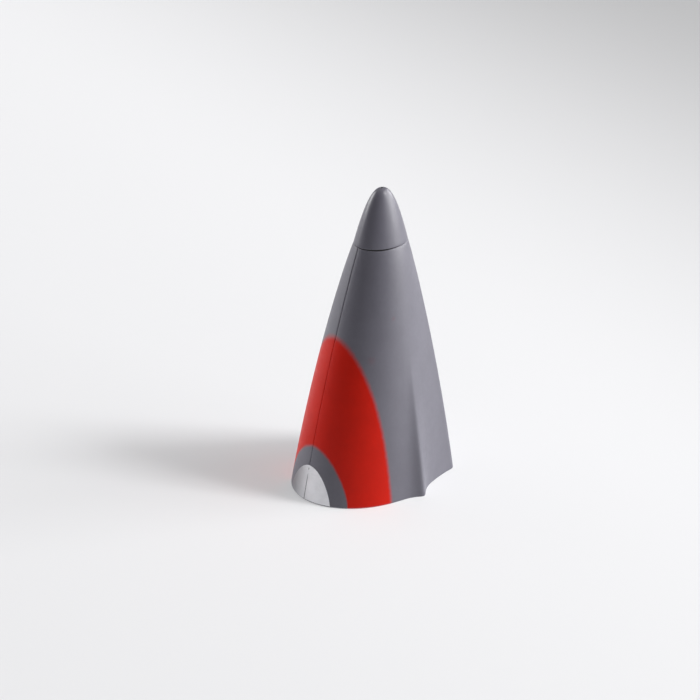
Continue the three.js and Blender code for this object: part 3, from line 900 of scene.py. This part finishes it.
def plate(name, outlines, bottom, top, edge, material):
    """A flat plate from (up, across) outlines, the first one outside and the rest holes."""
    curve = bpy.data.curves.new(name, "CURVE")
    curve.dimensions = "2D"
    curve.fill_mode = "BOTH"
    curve.extrude = ((top - bottom) / 2 - edge) * MM
    curve.bevel_depth = edge * MM
    curve.bevel_resolution = 2
    curve.offset = -edge * MM
    for outline in outlines:
        spline = curve.splines.new("POLY")
        spline.points.add(len(outline) - 1)
        spline.use_cyclic_u = True
        for point, (up, across) in zip(spline.points, outline):
            spot = place(up, across, 0.0)
            point.co = (spot.x, spot.y, 0.0, 1.0)
    drawn = bpy.data.objects.new(name, curve)
    link(drawn)
    depsgraph = bpy.context.evaluated_depsgraph_get()
    mesh = bpy.data.meshes.new_from_object(drawn.evaluated_get(depsgraph))
    bpy.data.objects.remove(drawn)
    mesh.transform(Matrix.Translation((0, 0, (bottom + top) / 2 * MM)))
    mesh.materials.clear()
    mesh.materials.append(material)
    mesh.polygons.foreach_set("use_smooth", [True] * len(mesh.polygons))
    piece = bpy.data.objects.new(name, mesh)
    link(piece)
    turn_outwards(piece, merge=True)
    sharpen(piece, 50)
    return piece


def whole_section(height, inset):
    """The closed section outline, without the chines."""
    half = half_section(height, inset, False)
    return half + [(up, -across) for up, across in half[-2:0:-1]]


def cut_slot(piece, across, up, face):
    """Cuts a screwdriver slot across a screw's head."""
    half, depth = SLOT_WIDTH / 2, SLOT_DEPTH
    corners = [place(up + u * half, across + a * SCREW_HEAD * 1.2, face + h * depth)
               for h in (-1, 1) for u, a in ((-1, -1), (-1, 1), (1, 1), (1, -1))]
    sides = [(0, 1, 2, 3), (4, 5, 6, 7), (0, 1, 5, 4), (1, 2, 6, 5), (2, 3, 7, 6), (3, 0, 4, 7)]
    cutter = build_mesh("slot_cutter", corners, sides, [])
    turn_outwards(cutter)
    cut = piece.modifiers.new("slot", "BOOLEAN")
    cut.operation = "DIFFERENCE"
    cut.object = cutter
    apply_modifiers(piece)
    bpy.data.objects.remove(cutter)
    sharpen(piece, 35)


def add(piece, node, body="cone"):
    """Puts a piece on its body and hides the CAD node whose place it takes."""
    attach(piece, body)
    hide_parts(node)


def build_rear_former(plywood):
    outlines = [whole_section(FORMER_TOP, RIM_WALL + GAP)]
    hatch = [(HATCH["up"] + HATCH["rise"] * math.cos(a), HATCH["half"] * math.sin(a))
             for a in [2 * math.pi * i / HOLE_SIDES["hatch"] for i in range(HOLE_SIDES["hatch"])]]
    outlines.append(hatch)
    for across, up in MAGNET_PLACES.values():
        outlines.append(circle(SCREW_RADIUS + GAP, HOLE_SIDES["screw"], across, up))
    for across, up in BUSH_PLACES.values():
        outlines.append(circle(BUSH_RADIUS + GAP, HOLE_SIDES["bush"], across, up))
    piece = plate("rear_plywood", outlines, FORMER_BOTTOM, FORMER_TOP, FORMER_EDGE, plywood)
    add(piece, "rear_former")


def build_fastenings(nickel, steel, black_nylon):
    """Four screwed magnets and two bushes for the fuselage's pegs, on the rear former."""
    head_depth = SCREW_HEAD - SCREW_RADIUS
    sink = SCREW_HEAD + GAP
    bore = SCREW_RADIUS + GAP
    for name, (across, up) in MAGNET_PLACES.items():
        ring = softened([(sink, MAGNET_BOTTOM), (MAGNET_RADIUS, MAGNET_BOTTOM),
                         (MAGNET_RADIUS, MAGNET_TOP), (bore, MAGNET_TOP),
                         (bore, MAGNET_BOTTOM + head_depth)], 0.35)
        add(turned("ring_magnet_" + name, ring, across, up, nickel), "magnet_" + name)
        head = [(AXIS_RADIUS, SCREW_FACE)]
        head += [(SCREW_HEAD - inset, height) for inset, height in SCREW_RIM]
        head.append((SCREW_RADIUS, SCREW_FACE + head_depth))
        thread = thread_profile(head[-1][1] + SCREW_RUNOUT["head"], SCREW_TIP - SCREW_RUNOUT["tip"],
                                SCREW_RADIUS, **SCREW_THREAD)
        shank = [(SCREW_RADIUS, SCREW_TIP - SCREW_POINT), (AXIS_RADIUS, SCREW_TIP)]
        screw = turned("csk_screw_" + name, head + thread + shank, across, up, steel, bored=False)
        cut_slot(screw, across, up, SCREW_FACE)
        add(screw, "screw_" + name)
    flange_top = FORMER_BOTTOM - GAP
    flange_bottom = flange_top - BUSH_FLANGE_THICKNESS
    for name, (across, up) in BUSH_PLACES.items():
        bush = softened([(BUSH_BORE, flange_bottom), (BUSH_FLANGE, flange_bottom),
                         (BUSH_FLANGE, flange_top), (BUSH_RADIUS, flange_top),
                         (BUSH_RADIUS, FORMER_TOP), (BUSH_BORE, FORMER_TOP)], 0.3)
        add(turned("flanged_bush_" + name, bush, across, up, black_nylon),
            "peg_bush_" + name)


def thread_profile(start, end, radius, pitch, depth):
    """Thread ridges along a shank, as profile corners."""
    ridges = []
    for i in range(int((end - start) / pitch)):
        ridges.append((radius, start + i * pitch))
        ridges.append((radius - depth, start + (i + 0.5) * pitch))
    return ridges


def hexagonal(name, bottom, top, material, bore=0.0, shank_end=None):
    """A nut, or a bolt with its head at the bottom, on the ballast's axis."""
    corner = HEX_ACROSS / math.sqrt(3)
    edge = 0.3
    sides = 6
    steps = 10
    count = sides * steps
    rows = []
    for height, shrink in ((bottom, edge), (bottom + edge, 0), (top - edge, 0), (top, edge)):
        row = []
        for i in range(count):
            angle = 2 * math.pi * i / count
            turn = (angle + math.pi / sides) % (2 * math.pi / sides) - math.pi / sides
            flat = HEX_ACROSS / 2 / math.cos(math.pi / sides - abs(turn))
            radius = min(flat, corner - shrink)
            row.append(place(BALLAST_UP + radius * math.cos(angle), radius * math.sin(angle), height))
        rows.append(row)
    if bore:
        inner = [(bore, top), (bore, bottom)]
    else:
        inner = [(BOLT_RADIUS, top)]
        inner += thread_profile(top + BOLT_RUNOUT["head"], shank_end - BOLT_RUNOUT["tip"],
                                BOLT_RADIUS, **BOLT_THREAD)
        inner += [(BOLT_RADIUS, shank_end - BOLT_CHAMFER["up"]),
                  (BOLT_RADIUS - BOLT_CHAMFER["inward"], shank_end)]
    for radius, height in inner:
        ring = circle(radius, count, 0.0, BALLAST_UP)
        rows.append([place(u, a, height) for u, a in ring])
    return closed_piece(name, rows, material, capped=not bore)


def build_ballast(plywood, blackened, steel):
    """Three steel discs bolted to the front former, deep in the cavity."""
    hole = circle(BOLT_RADIUS + GAP, HOLE_SIDES["bolt"], 0.0, BALLAST_UP)
    former = plate("front_plywood", [whole_section(FRONT_FORMER[1], WALL + 2 * GAP), hole],
                   *FRONT_FORMER, FORMER_EDGE, plywood)
    add(former, "front_former")
    bore = BOLT_RADIUS + GAP
    for i, (low, high) in enumerate(BALLAST_LEVELS, 1):
        disc = softened([(bore, low), (BALLAST_RADIUS, low), (BALLAST_RADIUS, high), (bore, high)],
                        0.5)
        add(turned("weight_" + str(i), disc, 0.0, BALLAST_UP, blackened),
            "ballast_weight_" + str(i))
    radius, low, high = WASHER
    ring = softened([(bore, low), (radius, low), (radius, high), (bore, high)], 0.15)
    add(turned("plain_washer", ring, 0.0, BALLAST_UP, steel), "ballast_washer")
    add(hexagonal("hex_nut", *NUT, steel, bore=bore), "ballast_nut")
    add(hexagonal("hex_bolt", *BOLT_HEAD, steel, shank_end=BOLT_END), "ballast_bolt")


def build_socket(nylon):
    """Oval sleeve that the tip's spigot plugs into."""
    low, high = SOCKET
    rise, half = SOCKET_BORE
    profile = softened([(0.0, low), (SOCKET_WALL, low), (SOCKET_WALL, high), (0.0, high)], 0.4)
    rows = [ellipse_row(RING_UP, rise + wall, half + wall, height) for wall, height in profile]
    sleeve = closed_piece("socket_sleeve", rows, nylon, capped=False)
    add(sleeve, "tip_socket")


def build_dowels(nylon):
    """Round-ended pins across the joint, in the middle of the wall."""
    for name in ("spine_dowel_low", "spine_dowel_high", "belly_dowel_low", "belly_dowel_high"):
        low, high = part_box(name)
        middle = (low + high) / 2
        end = 0.3
        radii = ((-DOWEL_LENGTH / 2, DOWEL_RADIUS - end), (-DOWEL_LENGTH / 2 + end, DOWEL_RADIUS),
                 (DOWEL_LENGTH / 2 - end, DOWEL_RADIUS), (DOWEL_LENGTH / 2, DOWEL_RADIUS - end))
        angles = [2 * math.pi * i / TURNED_SIDES for i in range(TURNED_SIDES)]
        rows = [[middle + Vector((along, radius * math.cos(a), radius * math.sin(a))) * MM
                 for a in angles] for along, radius in radii]
        add(closed_piece(name + "_pin", rows, nylon), name)


# -------------------- stage

FLOOR_PAPER = (0.76, 0.76, 0.772, 1)
FALLOFF = 0.5             # painted shade: how much darker the paper gets towards its far right, where the light falls off
FALLOFF_X = 0.21          # weights of x and y in how far right a place on the floor is
FALLOFF_Y = 1.13
FALLOFF_RANGE = (150.0, 1000.0)     # it gets darker between these weighted sums

CAMERA_PLACE = (1.0297, -0.8826, 0.7072)
CAMERA_AZIMUTH = 49.8
CAMERA_ELEVATION = 24.674
CAMERA_LENS = 128.57      # millimetres, on a sensor 36 mm wide
LIGHT_DISTANCE = 4.0


def see_through(tree, shader):
    """Lets the floor be seen through from below, and lets the light below it through."""
    output = next(node for node in tree.nodes if node.type == "OUTPUT_MATERIAL")
    behind = add_node(tree, "ShaderNodeNewGeometry").outputs["Backfacing"]
    shadow = add_node(tree, "ShaderNodeLightPath").outputs["Is Shadow Ray"]
    mixed = add_node(tree, "ShaderNodeMixShader")
    tree.links.new(math_node(tree, "MAXIMUM", behind, shadow), mixed.inputs[0])
    tree.links.new(shader.outputs[0], mixed.inputs[1])
    clear = add_node(tree, "ShaderNodeBsdfTransparent")
    tree.links.new(clear.outputs[0], mixed.inputs[2])
    tree.links.new(mixed.outputs[0], output.inputs["Surface"])


def build_stage():
    size = 8.0
    corners = [(-size, -size, 0), (size, -size, 0), (size, size, 0), (-size, size, 0)]
    material, tree, shader = new_material("floor_paper")
    shader.inputs["Roughness"].default_value = 0.9
    shader.inputs["Specular IOR Level"].default_value = 0.1
    _, x, y, _ = object_position(tree)
    far_right = math_node(tree, "ADD", math_node(tree, "MULTIPLY", x, FALLOFF_X),
                          math_node(tree, "MULTIPLY", y, FALLOFF_Y))
    # painted shade: the paper darkens towards the far right, standing in for the light's falloff
    fade = smooth_step(tree, far_right, *FALLOFF_RANGE, 0.0, FALLOFF)
    colour = mix_colour(tree, fade, FLOOR_PAPER, (0, 0, 0, 1))
    tree.links.new(colour, shader.inputs["Base Color"])
    see_through(tree, shader)
    floor = build_mesh("floor", corners, [(0, 1, 2, 3)], [material])


def add_area_light(name, azimuth, elevation, size, power, shadow=True):
    """A soft box at an azimuth counted from the camera's towards its right, aimed at the object."""
    a, e = math.radians(CAMERA_AZIMUTH + azimuth), math.radians(elevation)
    direction = Vector((math.sin(a) * math.cos(e), -math.cos(a) * math.cos(e), math.sin(e)))
    light = bpy.data.lights.new(name, "AREA")
    light.shape = "RECTANGLE"
    light.size, light.size_y = size
    light.energy = power
    light.use_shadow = shadow
    lamp = bpy.data.objects.new(name, light)
    lamp.location = (cad_low + cad_high) / 2 + direction * LIGHT_DISTANCE
    lamp.rotation_mode = "QUATERNION"
    lamp.rotation_quaternion = (-direction).to_track_quat("-Z", "Y")
    lamp.visible_camera = False
    link(lamp)


def build_lights():
    """Soft boxes round the object, one below it, and a faint even light from everywhere."""
    add_area_light("key", 80, 43, (0.9, 0.9), 79)
    add_area_light("right_wall", 92, 13, (2.4, 2.0), 113)
    add_area_light("right_back", 125, 18, (2.0, 2.0), 104, shadow=False)
    add_area_light("right_front", 64, 14, (2.0, 2.0), 28)
    add_area_light("left_wall", 244, 20, (2.8, 2.0), 132, shadow=False)
    add_area_light("ceiling", 200, 75, (4.0, 4.0), 34, shadow=False)
    add_area_light("underside", 0, -89.9, (0.6, 0.6), 35)
    world = bpy.data.worlds.new("studio")
    world.use_nodes = True
    background = world.node_tree.nodes["Background"]
    background.inputs["Color"].default_value = (0.95, 0.95, 1.0, 1)
    background.inputs["Strength"].default_value = 0.03
    bpy.context.scene.world = world


def build_camera():
    """Seen from above and to the right of the spine, through a long lens."""
    camera = bpy.data.cameras.new("camera")
    camera.sensor_width = 36
    camera.lens = CAMERA_LENS
    camera.clip_end = 60
    eye = bpy.data.objects.new("camera", camera)
    eye.location = CAMERA_PLACE
    eye.rotation_euler = (math.radians(90 - CAMERA_ELEVATION), 0, math.radians(CAMERA_AZIMUTH))
    link(eye)
    bpy.context.scene.camera = eye


# -------------------- assembly

def main():
    paint, foam, shade_and_glue = painted_foam(), raw_foam(), glue_and_painted_shade()
    for name, node, side in (("foam_half_left", "left_shell", -1),
                             ("foam_half_right", "right_shell", 1)):
        half = build_shell(name, side, paint, foam, shade_and_glue)
        add(half, node)
    add(build_tip(moulded_tip()), "nose_tip", "tip")
    add(build_patch(silver_foil()), "silver_patch")

    plywood = birch_plywood()
    nickel = plain_material("nickel", (0.66, 0.63, 0.58, 1), 1.0, (0.16, 0.28), 0.04, 0.004)
    steel = plain_material("zinc_plated_steel", (0.60, 0.61, 0.62, 1), 1.0, (0.28, 0.42), 0.08, 0.006)
    blackened = plain_material("blackened_steel", (0.06, 0.058, 0.06, 1), 0.8, (0.35, 0.6), 0.2, 0.01)
    white_nylon = plain_material("white_nylon", (0.72, 0.71, 0.67, 1), 0.0, (0.38, 0.5), 0.03, 0.006)
    black_nylon = plain_material("black_nylon", (0.018, 0.018, 0.02, 1), 0.0, (0.3, 0.45), 0.15,
                                 0.006)
    build_rear_former(plywood)
    build_fastenings(nickel, steel, black_nylon)
    build_ballast(plywood, blackened, steel)
    build_socket(black_nylon)
    build_dowels(white_nylon)

    build_stage()
    build_lights()
    build_camera()
    bpy.context.scene.view_settings.view_transform = "Standard"


main()
